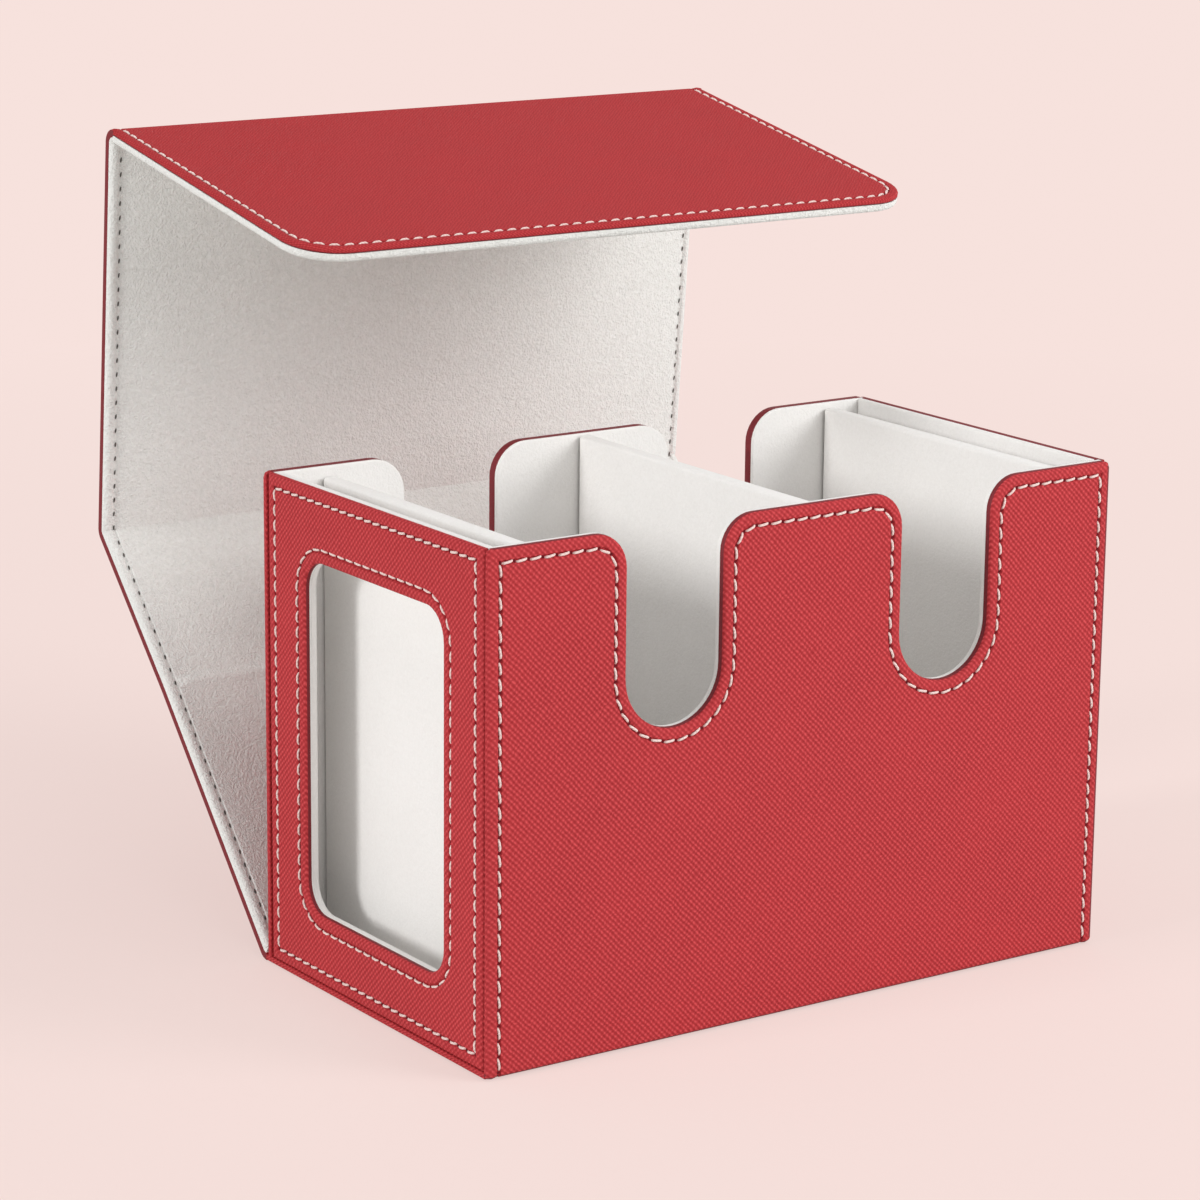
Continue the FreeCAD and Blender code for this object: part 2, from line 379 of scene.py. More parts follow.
# Grey board inside the panels; also painted on the dividers' edges as shade.
BOARD_AND_SHADE = FleckFinish("grey_board", "8C8984", "A8A49D", 700.0, 4.0, 0.85, 0.1, 0.15, 0.00005, weight=0.65)
MAGNET = FleckFinish("magnet_metal", "B4B4B6", "D6D6D8", 1200.0, 3.0, 0.28, 0.14,
                     relief=0.00001, metallic=1.0, weight=0.7)
FLOOR = FloorFinish()


# Modelling by hand


class Element(Enum):
    """What a selection is made of."""

    POINT = ("VERT", "verts")
    EDGE = ("EDGE", "edges")
    FACE = ("FACE", "faces")


class Grain(Enum):
    """Which way the leather's ridges slant on a panel, and how fine they are."""

    FALLING = (1.0, 1.0)
    RISING = (-1.0, 1.0)
    FINE = (1.5, 1.5)

    def spread(self, point: Vector) -> Tuple[float, float]:
        """Both lengths of a panel's point on the grain."""
        return point.x * self.value[0], point.y * self.value[1]


class Workpiece:
    """One mesh on the bench, worked in millimetres on a flat panel whose inner face is at level 0."""

    def __init__(self, obj: bpy.types.Object, name: str) -> None:
        """Take over a new object and name it."""
        self.obj = obj
        self.obj.name = name
        self.obj.data.name = name

    @classmethod
    def begin(cls, name: str, add: Callable[..., Any], **shape: Any) -> "Workpiece":
        """Start a piece from a primitive, with its place in its mesh."""
        bpy.ops.object.select_all(action="DESELECT")
        add(**shape)
        piece = cls(bpy.context.object, name)
        bpy.ops.object.transform_apply(location=True, rotation=True, scale=True)
        return piece

    @classmethod
    def sheet(cls, name: str, left: float, right: float, low: float, high: float,
              level: float) -> "Workpiece":
        """Lay a flat rectangle.

        Args:
            name: Name of the piece.
            left: Lowest x.
            right: Highest x.
            low: Lowest y.
            high: Highest y.
            level: z.

        Returns:
            The new piece.
        """
        piece = cls.begin(name, bpy.ops.mesh.primitive_plane_add, size=1.0)
        with piece.editing():
            bpy.ops.mesh.select_all(action="SELECT")
            bpy.ops.transform.resize(value=(right - left, high - low, 1.0))
            bpy.ops.transform.translate(value=((left + right) / 2, (low + high) / 2, level))
        return piece

    @contextmanager
    def editing(self) -> Iterator[None]:
        """Keep this piece alone in edit mode for a while."""
        self.hold()
        bpy.ops.object.mode_set(mode="EDIT")
        yield
        bpy.ops.object.mode_set(mode="OBJECT")

    def hold(self) -> None:
        """Select this piece and nothing else."""
        bpy.ops.object.select_all(action="DESELECT")
        self.obj.select_set(True)
        bpy.context.view_layer.objects.active = self.obj

    def pick(self, element: Element, test: Test) -> None:
        """Select the points, edges or faces that pass a test, in edit mode."""
        mode, sequence = element.value
        bpy.ops.mesh.select_mode(type=mode)
        bpy.ops.mesh.select_all(action="DESELECT")
        mesh = bmesh.from_edit_mesh(self.obj.data)
        for item in [item for item in getattr(mesh, sequence) if test(item)]:
            item.select_set(True)
        mesh.select_flush_mode()
        bmesh.update_edit_mesh(self.obj.data)

    def cut(self, axis: str, at: float, beyond: bool = False, behind: bool = False) -> None:
        """Slice the piece along a plane.

        Args:
            axis: The axis that the plane stands across.
            at: Where on that axis it stands.
            beyond: Whether to drop what lies beyond it and close the cut.
            behind: Whether to drop what lies behind it and close the cut.
        """
        normal = Vector([float(name == axis) for name in "xyz"])
        bpy.ops.mesh.select_all(action="SELECT")
        bpy.ops.mesh.bisect(plane_co=normal * at, plane_no=normal, use_fill=beyond or behind,
                            clear_outer=beyond, clear_inner=behind)

    def hollow(self, rim: float, depth: float, stretch: Tuple[float, float, float]) -> None:
        """Sink the middle of a flat disc inside a rim, then stretch the disc."""
        with self.editing():
            bpy.ops.mesh.select_all(action="SELECT")
            bpy.ops.mesh.inset(thickness=rim, depth=-depth)
            bpy.ops.mesh.select_all(action="SELECT")
            bpy.ops.transform.resize(value=stretch)

    def round_points(self, test: Test, radius: float, segments: int) -> None:
        """Round the outline's corners that pass a test."""
        self.roll(test, radius, segments, Element.POINT)

    def thicken(self, height: float) -> None:
        """Raise the flat sheet into a solid."""
        bpy.ops.mesh.select_all(action="SELECT")
        bpy.ops.mesh.extrude_region_move(TRANSFORM_OT_translate={"value": (0.0, 0.0, height)})
        self.face_outwards()

    def face_outwards(self) -> None:
        """Merge doubles and point the faces out."""
        bpy.ops.mesh.select_all(action="SELECT")
        bpy.ops.mesh.remove_doubles(threshold=TOUCHING)
        bpy.ops.mesh.normals_make_consistent(inside=False)

    def roll(self, test: Test, radius: float, segments: int, element: Element = Element.EDGE) -> None:
        """Round the edges, or the points of an outline, that pass a test."""
        self.pick(element, test)
        affect = "VERTICES" if element is Element.POINT else "EDGES"
        bpy.ops.mesh.bevel(affect=affect, offset=radius, segments=segments, profile=0.5, clamp_overlap=False)

    def channel(self, test: Test, inset: float, width: float, depth: float, crown: float = 0.0) -> None:
        """Press a seam channel into a face, along its outline.

        Args:
            test: Picks the face.
            inset: Distance from the face's edge to the channel.
            width: Width of the channel.
            depth: Its depth.
            crown: How far the border outside it swells.
        """
        self.pick(Element.FACE, test)
        for share, rise in ((0.4, crown), (0.6, -crown)):
            bpy.ops.mesh.inset(thickness=inset * share, depth=rise, use_boundary=True, use_even_offset=True)
        for share, rise in ((0.25, -depth), (0.5, 0.0), (0.25, depth)):
            bpy.ops.mesh.inset(thickness=width * share, depth=rise, use_boundary=True, use_even_offset=True)

    def ring(self, width: float) -> None:
        """Keep only a ring of the flat sheet, along its outline."""
        bpy.ops.mesh.select_mode(type="FACE")
        bpy.ops.mesh.select_all(action="SELECT")
        bpy.ops.mesh.inset(thickness=width, use_boundary=True, use_even_offset=True)
        bpy.ops.mesh.delete(type="FACE")

    def mark_border(self, floor: float) -> None:
        """Note which points lie beyond the seam of the selected face, and which on the seam's floor, where
        the leather gets painted shade.
        """
        mesh = self.obj.data
        inside = {point for face in mesh.polygons if face.select for point in face.vertices}
        outside = [0.0 if point.index in inside else 1.0 for point in mesh.vertices]
        sunk = [1.0 if abs(point.co.z - floor) < NEAR else 0.0 for point in mesh.vertices]
        for name, values in (("border", outside), ("groove", sunk)):
            mesh.attributes.new(name, "FLOAT", "POINT").data.foreach_set("value", values)

    def lay_flat_map(self, spread: Callable[[Vector], Tuple[float, float]]) -> None:
        """Give each face corner its flat place, both lengths in millimetres."""
        mesh = self.obj.data
        layer = mesh.uv_layers.get("flat") or mesh.uv_layers.new(name="flat")
        for loop in mesh.loops:
            u, v = spread(mesh.vertices[loop.vertex_index].co)
            layer.data[loop.index].uv = (u / UV_SPAN, v / UV_SPAN)

    def smooth(self, degrees: float = 38.0) -> None:
        """Shade smooth, except across edges sharper than an angle."""
        self.hold()
        bpy.ops.object.shade_smooth_by_angle(angle=math.radians(degrees))

    def put(self, place: Matrix) -> None:
        """Move the piece from the bench to its place, in metres and in its mesh."""
        self.obj.matrix_world = place @ Matrix.Diagonal((MM, MM, MM, 1.0))
        self.hold()
        bpy.ops.object.transform_apply(location=True, rotation=True, scale=True)

    def paint(self, *finishes: Any) -> None:
        """Dress the piece in its finishes, the first one all over."""
        self.obj.data.materials.clear()
        for finish in finishes:
            self.obj.data.materials.append(finish.material())

    def paint_faces(self, slot: int, test: Callable[[bpy.types.MeshPolygon], bool]) -> None:
        """Give the faces that pass a test one of the piece's finishes."""
        for face in self.obj.data.polygons:
            if test(face):
                face.material_index = slot

    def ride(self, body: str, slot: str, *nodes: str) -> None:
        """Fix the piece to a body, in place of nodes of the frame."""
        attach(self.obj, body)
        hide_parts(*nodes)
        log.info("%s rides on %s", self.obj.name, body)

    def fit(self, place: Matrix, body: str, slot: str, *nodes: str) -> None:
        """Put the piece in its place and fix it to a body, in place of nodes of the frame."""
        self.put(place)
        self.ride(body, slot, *nodes)

    def bend(self, first: str, last: str, start: Vector, end: Vector, slot: str, *nodes: str) -> None:
        """Bake the piece's place into its mesh, in place of nodes of the frame; nothing makes it bend between
        the two bodies.
        """
        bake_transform(self.obj, first, last, start=tuple(start), end=tuple(end))
        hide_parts(*nodes)
        log.info("%s bends between %s and %s", self.obj.name, first, last)


def at_level(level: float) -> Test:
    """Test for an edge on a panel's outer or inner face that borders its side."""
    def on_rim(edge: Any) -> bool:
        """Whether the edge lies on that face and borders a side."""
        on_face = all(abs(point.co.z - level) < NEAR for point in edge.verts)
        return on_face and any(abs(face.normal.z) < 0.5 for face in edge.link_faces)
    return on_rim


# Sizes


@dataclass(frozen=True)
class Sizes:
    """Sizes that all the panels share, in millimetres."""

    length: float = 146.5
    depth: float = 80.5
    height: float = 100.0
    leather: float = 1.2
    core: float = 1.8
    turn_in: float = 0.8
    seam_gap: float = 0.25
    seam: float = 2.6
    lid_seam: float = 2.15
    lid_wrap: float = 0.4
    seam_width: float = 1.0
    seam_depth: float = 0.3
    crown: float = 0.12
    lining_depth: float = 0.24
    pitch: float = 3.05
    overrun: float = 8.0
    side_margin: float = 1.0
    end_margin: float = 4.0

    @property
    def wall(self) -> float:
        """Thickness of a panel."""
        return self.leather + self.core

    @property
    def half(self) -> float:
        """Half the length of the box."""
        return self.length / 2


SIZES = Sizes()


# Outlines of the panels


@dataclass(frozen=True)
class Corner:
    """A corner of an outline, with its rounding."""

    x: float
    y: float
    radius: float = 0.0


@dataclass(frozen=True)
class Panel:
    """A plain rectangular panel, which may run on into a fold at either end."""

    half_width: float
    low: float
    high: float
    folds_low: bool = False
    folds_high: bool = False

    def lay(self, name: str, level: float) -> Workpiece:
        """Lay the outline as one flat face at a level, longer at the ends that fold."""
        low = self.low - (SIZES.overrun if self.folds_low else 0.0)
        high = self.high + (SIZES.overrun if self.folds_high else 0.0)
        return Workpiece.sheet(name, -self.half_width, self.half_width, low, high, level)

    def pierce(self, piece: Workpiece) -> None:
        """Cut openings; a plain panel has none."""

    def soften(self, piece: Workpiece) -> None:
        """Blunt corners; a plain panel has none that need it."""

    def is_free(self, point: Vector, open_sides: bool) -> bool:
        """Whether a point of the panel's edge meets no other panel."""
        between = abs(point.x) < self.half_width - SIZES.side_margin
        return open_sides or (between and point.y > self.low + SIZES.end_margin)

    def trim(self, piece: Workpiece) -> None:
        """Cut the ends that run on into a fold."""
        if self.folds_low:
            piece.cut("y", self.low, behind=True)
        if self.folds_high:
            piece.cut("y", self.high, beyond=True)


@dataclass(frozen=True)
class TabbedPanel(Panel):
    """A wall with three tabs and two thumb notches along its top."""

    notch_width: float = 21.7
    notch_depth: float = 38.8
    notch_offset: float = 32.0
    tab_radius: float = 7.0
    corner: float = 1.3
    diagonal: float = 0.29
    tab_steps: int = 9
    notch_steps: int = 13
    notch_slack: float = 0.002
    merge: float = 0.02

    def lay(self, name: str, level: float) -> Workpiece:
        """Lay the notched outline as one flat face."""
        piece = super().lay(name, level)
        floor = self.high - self.notch_depth
        reach = self.notch_width / 2
        with piece.editing():
            for centre in (-self.notch_offset, self.notch_offset):
                piece.cut("x", centre - reach)
                piece.cut("x", centre + reach)
            piece.cut("y", floor)
            piece.pick(Element.FACE, self._in_notch)
            bpy.ops.mesh.delete(type="FACE")
            bpy.ops.mesh.select_all(action="SELECT")
            bpy.ops.mesh.dissolve_faces()
            inner = self.notch_offset + reach + 1.0
            piece.round_points(lambda p: p.co.y > self.high - NEAR and abs(p.co.x) < inner,
                               self.tab_radius, self.tab_steps)
            piece.round_points(lambda p: abs(p.co.y - floor) < NEAR and abs(p.co.x) < inner,
                               reach - self.notch_slack, self.notch_steps)
            bpy.ops.mesh.select_all(action="SELECT")
            bpy.ops.mesh.remove_doubles(threshold=self.merge)
        return piece

    def soften(self, piece: Workpiece) -> None:
        """Round both upper corners over the finished rings of the border."""
        for inset in (self.corner, self.corner * 0.4):
            piece.cut("y", self.high - inset)
            for side in (-1.0, 1.0):
                piece.cut("x", side * (self.half_width - inset))
        mesh = bmesh.from_edit_mesh(piece.obj.data)
        for point in mesh.verts:
            side = math.copysign(1.0, point.co.x)
            beside, below = self._rounded(self.half_width - abs(point.co.x), self.high - point.co.y)
            point.co.x, point.co.y = side * (self.half_width - beside), self.high - below
        bmesh.update_edit_mesh(piece.obj.data)

    def _rounded(self, beside: float, below: float) -> Tuple[float, float]:
        """Distances of a point from the side and the top, once the corner is round."""
        inset, apart = min(beside, below), abs(beside - below)
        radius = self.corner - inset
        if apart >= radius:
            return beside, below
        if apart < self.merge:
            return beside + radius * self.diagonal, below + radius * self.diagonal
        drop = radius - math.sqrt(radius ** 2 - (radius - apart) ** 2)
        return (beside + drop, below) if beside < below else (beside, below + drop)

    def _in_notch(self, face: Any) -> bool:
        """Whether a face lies in a notch."""
        middle = face.calc_center_median()
        beside = abs(abs(middle.x) - self.notch_offset) < self.notch_width / 2
        return beside and middle.y > self.high - self.notch_depth

    def seam(self, inset: float) -> List[List[Corner]]:
        """Corners of the seam's three runs: up one side, round the tabs and down the other."""
        top, side = self.high - inset, self.half_width - inset
        floor = self.high - self.notch_depth - inset
        reach, tab = self.notch_width / 2 + inset, self.tab_radius - inset
        corners = [Corner(side, top)]
        for centre in (self.notch_offset, -self.notch_offset):
            corners += [Corner(centre + reach, top, tab), Corner(centre + reach, floor, reach),
                        Corner(centre - reach, floor, reach), Corner(centre - reach, top, tab)]
        sides = [[Corner(x, self.low), Corner(x, top)] for x in (-side, side)]
        return sides + [corners + [Corner(-side, top)]]


@dataclass(frozen=True)
class RoundedPanel(Panel):
    """A panel with all its corners rounded."""

    corner_radius: float = 6.0
    steps: int = 8

    def lay(self, name: str, level: float) -> Workpiece:
        """Lay the rounded outline as one flat face."""
        piece = super().lay(name, level)
        with piece.editing():
            piece.round_points(lambda point: True, self.corner_radius, self.steps)
        return piece


@dataclass(frozen=True)
class WindowPanel(Panel):
    """An end wall with a rounded window."""

    window_half: float = 24.75
    window_low: float = 15.1
    window_high: float = 85.6
    window_radius: float = 6.0
    blade_reach: float = 2.0

    def pierce(self, piece: Workpiece) -> None:
        """Cut the window through the solid panel."""
        blade = self.rim(0.0).lay("window_blade", -SIZES.wall - self.blade_reach)
        with blade.editing():
            blade.thicken(SIZES.wall + 2 * self.blade_reach)
        piece.hold()
        cut = piece.obj.modifiers.new("window", "BOOLEAN")
        cut.operation, cut.solver, cut.object = "DIFFERENCE", "EXACT", blade.obj
        bpy.ops.object.modifier_apply(modifier=cut.name)
        bpy.data.objects.remove(blade.obj)

    def is_free(self, point: Vector, open_sides: bool) -> bool:
        """Whether a point lies on the window's edge; at the top the leather is turned over."""
        return super().is_free(point, open_sides) and point.y < self.high - SIZES.end_margin

    def rim(self, width: float) -> RoundedPanel:
        """Outline of the window with a rim round it."""
        return RoundedPanel(self.window_half + width, self.window_low - width, self.window_high + width,
                            corner_radius=self.window_radius + width)

    def window_seam(self, inset: float) -> List[Corner]:
        """Corners of the seam round the window."""
        half, radius = self.window_half + inset, self.window_radius + inset
        low, high = self.window_low - inset, self.window_high + inset
        return [Corner(-half, low, radius), Corner(half, low, radius),
                Corner(half, high, radius), Corner(-half, high, radius)]


@dataclass(frozen=True)
class FlapPanel(Panel):
    """The lid's front flap, with its free corners rounded."""

    corner_radius: float = 10.0
    steps: int = 10

    def lay(self, name: str, level: float) -> Workpiece:
        """Lay the rounded outline as one flat face."""
        piece = super().lay(name, level)
        with piece.editing():
            piece.round_points(lambda point: point.co.y > self.high - NEAR, self.corner_radius, self.steps)
        return piece

    def seam(self, inset: float) -> List[Corner]:
        """Corners of the seam, out along one side and back along the other."""
        side, top = self.half_width - inset, self.high - inset
        radius = self.corner_radius - inset
        return [Corner(side, self.low), Corner(side, top, radius),
                Corner(-side, top, radius), Corner(-side, self.low)]


# Sheets of a panel


@dataclass(frozen=True)
class Edge:
    """How a panel's leather ends: its rounding, from what lean its faces are painted dark as cut edge and as
    shade, and its seam's distance.
    """

    roll: float
    back_roll: float
    cut_and_shade_from: float
    open_sides: bool = False
    seam: float = SIZES.seam
    wrap: float = 0.0
    leather: LeatherFinish = LEATHER


FRONT_EDGE = Edge(0.85, 0.3, -0.45)
BACK_EDGE = Edge(0.4, 0.3, -0.45)
BASE_EDGE = Edge(0.4, 0.2, 2.0)
LID_EDGE = Edge(0.15, 0.2, -0.45, True, SIZES.lid_seam, SIZES.lid_wrap, LID_LEATHER)
FLAP_EDGE = Edge(0.6, 0.3, 0.1, True, SIZES.lid_seam, 0.0, LID_LEATHER)


def unrolled(point: Vector) -> Vector:
    """Place of a leather's point once the edges that turn down lie flat again."""
    down = max(0.0, point.z + SIZES.wall - SIZES.seam_depth)
    return Vector((point.x + math.copysign(down, point.x), point.y + down, 0.0))


def leather_cover(name: str, panel: Panel, grain: Grain, edge: Edge, seamed: bool = True) -> Workpiece:
    """Leather of a panel: rolled edges, and a channel pressed in where it is sewn.

    Args:
        name: Name of the piece.
        panel: Its outline.
        grain: Slant of the ridges.
        edge: How its edges are finished.
        seamed: Whether it has the channel.

    Returns:
        The piece, still flat.
    """
    outer, inner = -SIZES.wall, edge.wrap - SIZES.core
    piece = panel.lay(name, inner)
    with piece.editing():
        piece.thicken(outer - inner)
    panel.pierce(piece)
    with piece.editing():
        piece.roll(at_level(outer), edge.roll, 4)
        on_back = at_level(inner)
        side = 0.0 if edge.open_sides else panel.half_width - NEAR
        piece.roll(lambda line: on_back(line) and all(abs(p.co.x) >= side for p in line.verts),
                   edge.back_roll, 3)
        piece.face_outwards()
        if seamed:
            inset = edge.seam - edge.roll - SIZES.seam_width / 2
            piece.channel(lambda face: face.normal.z < -FACING, inset, SIZES.seam_width,
                          SIZES.seam_depth, SIZES.crown)
        else:
            piece.pick(Element.FACE, lambda face: face.normal.z < -FACING)
    piece.mark_border(outer + SIZES.seam_depth)
    with piece.editing():
        panel.soften(piece)
        panel.trim(piece)
    piece.lay_flat_map(lambda point: grain.spread(unrolled(point)))
    piece.paint(edge.leather, CUT_EDGE_AND_SHADE)
    # Free edge faces turned away from the outer face get the dark finish: the cut edge itself, and painted
    # shade on the turning roll and on the line along the lining.
    piece.paint_faces(1, lambda face: face.normal.z > edge.cut_and_shade_from
                      and panel.is_free(face.center, edge.open_sides))
    piece.smooth()
    return piece


def turned_edge(name: str, panel: Panel, height: float, finish: Any) -> Workpiece:
    """Cover turned over the edge of a wall's board: a ring along its outline.

    Args:
        name: Name of the piece.
        panel: The board's outline with its edge.
        height: How far it reaches towards the inner side.
        finish: The cover's finish.

    Returns:
        The piece, still flat.
    """
    piece = panel.lay(name, -SIZES.core)
    with piece.editing():
        piece.ring(SIZES.turn_in)
        piece.thicken(height)
        piece.roll(at_level(height - SIZES.core), min(SIZES.turn_in, height) * 0.25, 3)
        piece.face_outwards()
        panel.trim(piece)
    piece.paint(finish)
    piece.smooth(SOFT_ANGLE)
    return piece


def lining_sheet(name: str, panel: Panel, thickness: float, roll: float, in_lid: bool = False) -> Workpiece:
    """Lining of a panel, with soft inner edges.

    Args:
        name: Name of the piece.
        panel: Its outline.
        thickness: How far it reaches down over its board.
        roll: Radius of its inner edges.
        in_lid: Whether it has the lid's nap, and the seam draws it in along the edges.

    Returns:
        The piece, still flat.
    """
    piece = panel.lay(name, -thickness)
    with piece.editing():
        piece.thicken(thickness)
    panel.pierce(piece)
    with piece.editing():
        piece.roll(at_level(0.0), roll, 5)
        piece.face_outwards()
        if in_lid:
            inset = SIZES.lid_seam - roll - SIZES.seam_width / 2
            piece.channel(lambda face: face.normal.z > FACING, inset, SIZES.seam_width, SIZES.lining_depth)
        panel.trim(piece)
    piece.paint(LINING if in_lid else FLAT_LINING)
    piece.smooth(SOFT_ANGLE)
    return piece


def bent_strip(strip: Workpiece, level: float, angle: float, steps: int) -> Workpiece:
    """Spin the cross-section at a flat strip's far end about an axis across it.

    Args:
        strip: A strip that ends at y 0.
        level: Level of the axis.
        angle: Turn in degrees, towards the inner side.
        steps: Number of segments.

    Returns:
        The strip, now only its bent part.
    """
    with strip.editing():
        strip.pick(Element.FACE, lambda face: not (face.normal.y > SIDEWARD
                                                   and face.calc_center_median().y > -NEAR))
        bpy.ops.mesh.delete(type="FACE")
        bpy.ops.mesh.select_mode(type="FACE")
        bpy.ops.mesh.select_all(action="SELECT")
        bpy.ops.mesh.spin(steps=steps, angle=-math.radians(angle), center=(0.0, 0.0, level),
                          axis=(1.0, 0.0, 0.0))
        strip.face_outwards()
    return strip


def dress_bend(strip: Workpiece, level: float, grain: Grain) -> None:
    """Lay the leather's grain on along a bend with its axis at a level, and paint its cut sides."""
    reach = level + SIZES.wall
    strip.lay_flat_map(lambda p: grain.spread(Vector((p.x, reach * math.atan2(p.y, level - p.z), 0.0))))
    strip.paint_faces(0, lambda face: True)
    strip.paint_faces(1, lambda face: abs(face.normal.x) > SIDEWARD)
    strip.smooth(SOFT_ANGLE)


# Seams


class SeamPath:
    """The line that a seam follows on a flat panel."""

    ARC_STEPS = 14

    def __init__(self, corners: Sequence[Corner], closed: bool = False) -> None:
        """Work out the runs and arcs through the corners.

        Args:
            corners: Corners in order.
            closed: Whether the line returns to its start.
        """
        self.points: List[Vector] = []
        count = len(corners)
        for place, corner in enumerate(corners):
            here = Vector((corner.x, corner.y))
            ends = not closed and place in (0, count - 1)
            if corner.radius <= 0 or ends:
                self.points.append(here)
                continue
            back = (Vector((corners[place - 1].x, corners[place - 1].y)) - here).normalized()
            after = corners[(place + 1) % count]
            ahead = (Vector((after.x, after.y)) - here).normalized()
            self.points += self._arc(here, back, ahead, corner.radius)
        if closed:
            self.points.append(self.points[0].copy())

    @classmethod
    def _arc(cls, corner: Vector, back: Vector, ahead: Vector, radius: float) -> List[Vector]:
        """Points of the arc that rounds a corner."""
        half_turn = back.angle(ahead) / 2
        centre = corner + (back + ahead).normalized() * (radius / math.sin(half_turn))
        first = corner + back * (radius / math.tan(half_turn)) - centre
        turn = math.pi - 2 * half_turn
        side = 1.0 if (-back).cross(ahead) > 0 else -1.0
        steps = [turn * side * step / cls.ARC_STEPS for step in range(cls.ARC_STEPS + 1)]
        return [centre + Matrix.Rotation(angle, 2) @ first for angle in steps]

    def holes(self, pitch: float) -> List[Vector]:
        """Needle holes from end to end of the line, evenly spaced at about the wanted pitch."""
        spans = [(b - a).length for a, b in zip(self.points, self.points[1:])]
        total = sum(spans)
        count = max(1, round(total / pitch))
        wanted = [total * step / count for step in range(count + 1)]
        found: List[Vector] = []
        reached = 0.0
        for start, end, span in zip(self.points, self.points[1:], spans):
            while len(found) < len(wanted) and wanted[len(found)] <= reached + span + 1e-6:
                share = (wanted[len(found)] - reached) / span if span else 0.0
                found.append(start.lerp(end, share))
            reached += span
        return found


@dataclass
class NeedleRows:
    """Rows of needle holes on one panel, with what is copied along them."""

    name: str
    rows: List[SeamPath]
    pitch: float = SIZES.pitch

    def runs(self) -> Iterator[Tuple[Vector, Vector]]:
        """Each needle hole, with the way to the next one of its row."""
        for row in self.rows:
            holes = row.holes(self.pitch)
            for start, end in zip(holes, holes[1:]):
                yield start, end - start

    @staticmethod
    def spot(point: Vector, level: float, run: Vector, slant: float) -> Matrix:
        """Place of a copy at a point, turned along its row and slanted by some degrees."""
        turn = Matrix.Rotation(math.atan2(run.y, run.x) + math.radians(slant), 4, "Z")
        return Matrix.Translation((point.x, point.y, level)) @ turn

    def join(self, patterns: Sequence[Workpiece], spots: Sequence[Tuple[Workpiece, Matrix]],
             place: Matrix) -> Workpiece:
        """Copy the patterns to their spots and join the copies.

        Args:
            patterns: The patterns, which are used up.
            spots: A pattern and a place on the flat panel for each copy.
            place: Place of the panel.

        Returns:
            The rows as one piece.
        """
        copies: List[bpy.types.Object] = []
        for pattern, spot in spots:
            copy = pattern.obj.copy()
            copy.data = pattern.obj.data.copy()
            copy.matrix_world = spot
            bpy.context.scene.collection.objects.link(copy)
            copies.append(copy)
        for pattern in patterns:
            bpy.data.objects.remove(pattern.obj)
        bpy.ops.object.select_all(action="DESELECT")
        for copy in copies:
            copy.select_set(True)
        bpy.context.view_layer.objects.active = copies[0]
        bpy.ops.object.join()
        bpy.ops.object.transform_apply(location=True, rotation=True, scale=True)
        piece = Workpiece(copies[0], self.name)
        piece.put(place)
        return piece


@dataclass
class Seam(NeedleRows):
    """Rows of stitches on one panel, each stitch lying between two needle holes."""

    gap: float = 0.5
    width: float = 0.52
    height: float = 0.46
    rise: float = 0.34
    arch: float = 0.5
    slant: float = -8.0
    hole: float = 0.23
    hole_reach: float = 1.9
    hole_rise: float = 0.1
    hole_rim: float = 0.4
    hole_depth: float = 0.02
    sides: int = 7

    def stitch(self) -> Workpiece:
        """Model one stitch: a round thread that arches from one hole to the next."""
        length = self.pitch - self.gap
        piece = Workpiece.begin("stitch", bpy.ops.mesh.primitive_cylinder_add, vertices=self.sides,
                                radius=0.5, depth=length, rotation=(0.0, math.pi / 2, 0.0))
        with piece.editing():
            for share in (-0.4, -0.2, 0.2, 0.4):
                piece.cut("x", length * share)
            bpy.ops.mesh.select_all(action="SELECT")
            bpy.ops.transform.resize(value=(1.0, self.width, self.height))
            piece.pick(Element.POINT, lambda point: abs(point.co.x) > length * 0.45)
            bpy.ops.transform.resize(value=(1.0, 0.6, 0.6))
            for share in (0.2, 0.4, 0.5):
                piece.pick(Element.POINT, lambda point: abs(abs(point.co.x) - length * share) < 0.02)
                bpy.ops.transform.translate(value=(0.0, 0.0, self.arch * (2 * share) ** 2))
        piece.lay_flat_map(lambda point: (point.x, math.atan2(point.y, point.z) / math.pi))
        piece.paint(THREAD)
        piece.smooth(60.0)
        return piece

    def needle_hole(self) -> Workpiece:
        """Model one needle hole: a small dimple, painted dark as the shade in the hole."""
        piece = Workpiece.begin("needle_hole", bpy.ops.mesh.primitive_circle_add, vertices=self.sides,
                                radius=self.hole, fill_type="NGON", rotation=(math.pi, 0.0, 0.0))
        piece.hollow(self.hole * self.hole_rim, self.hole_depth, (1.0, self.hole_reach, 1.0))
        piece.paint(NEEDLE_HOLE_SHADE)
        return piece

    def sew(self, place: Matrix) -> Workpiece:
        """Copy the stitch and the hole along the rows of a panel at this place, and join them."""
        stitch, hole = self.stitch(), self.needle_hole()
        floor = SIZES.seam_depth - SIZES.wall
        spots: List[Tuple[Workpiece, Matrix]] = []
        for start, run in self.runs():
            stretch = Matrix.Diagonal((run.length / self.pitch, 1.0, 1.0, 1.0))
            spots.append((stitch, self.spot(start + run / 2, floor - self.rise, run, self.slant) @ stretch))
            spots.append((hole, self.spot(start, floor - self.hole_rise, run, self.slant)))
        return self.join((stitch, hole), spots, place)


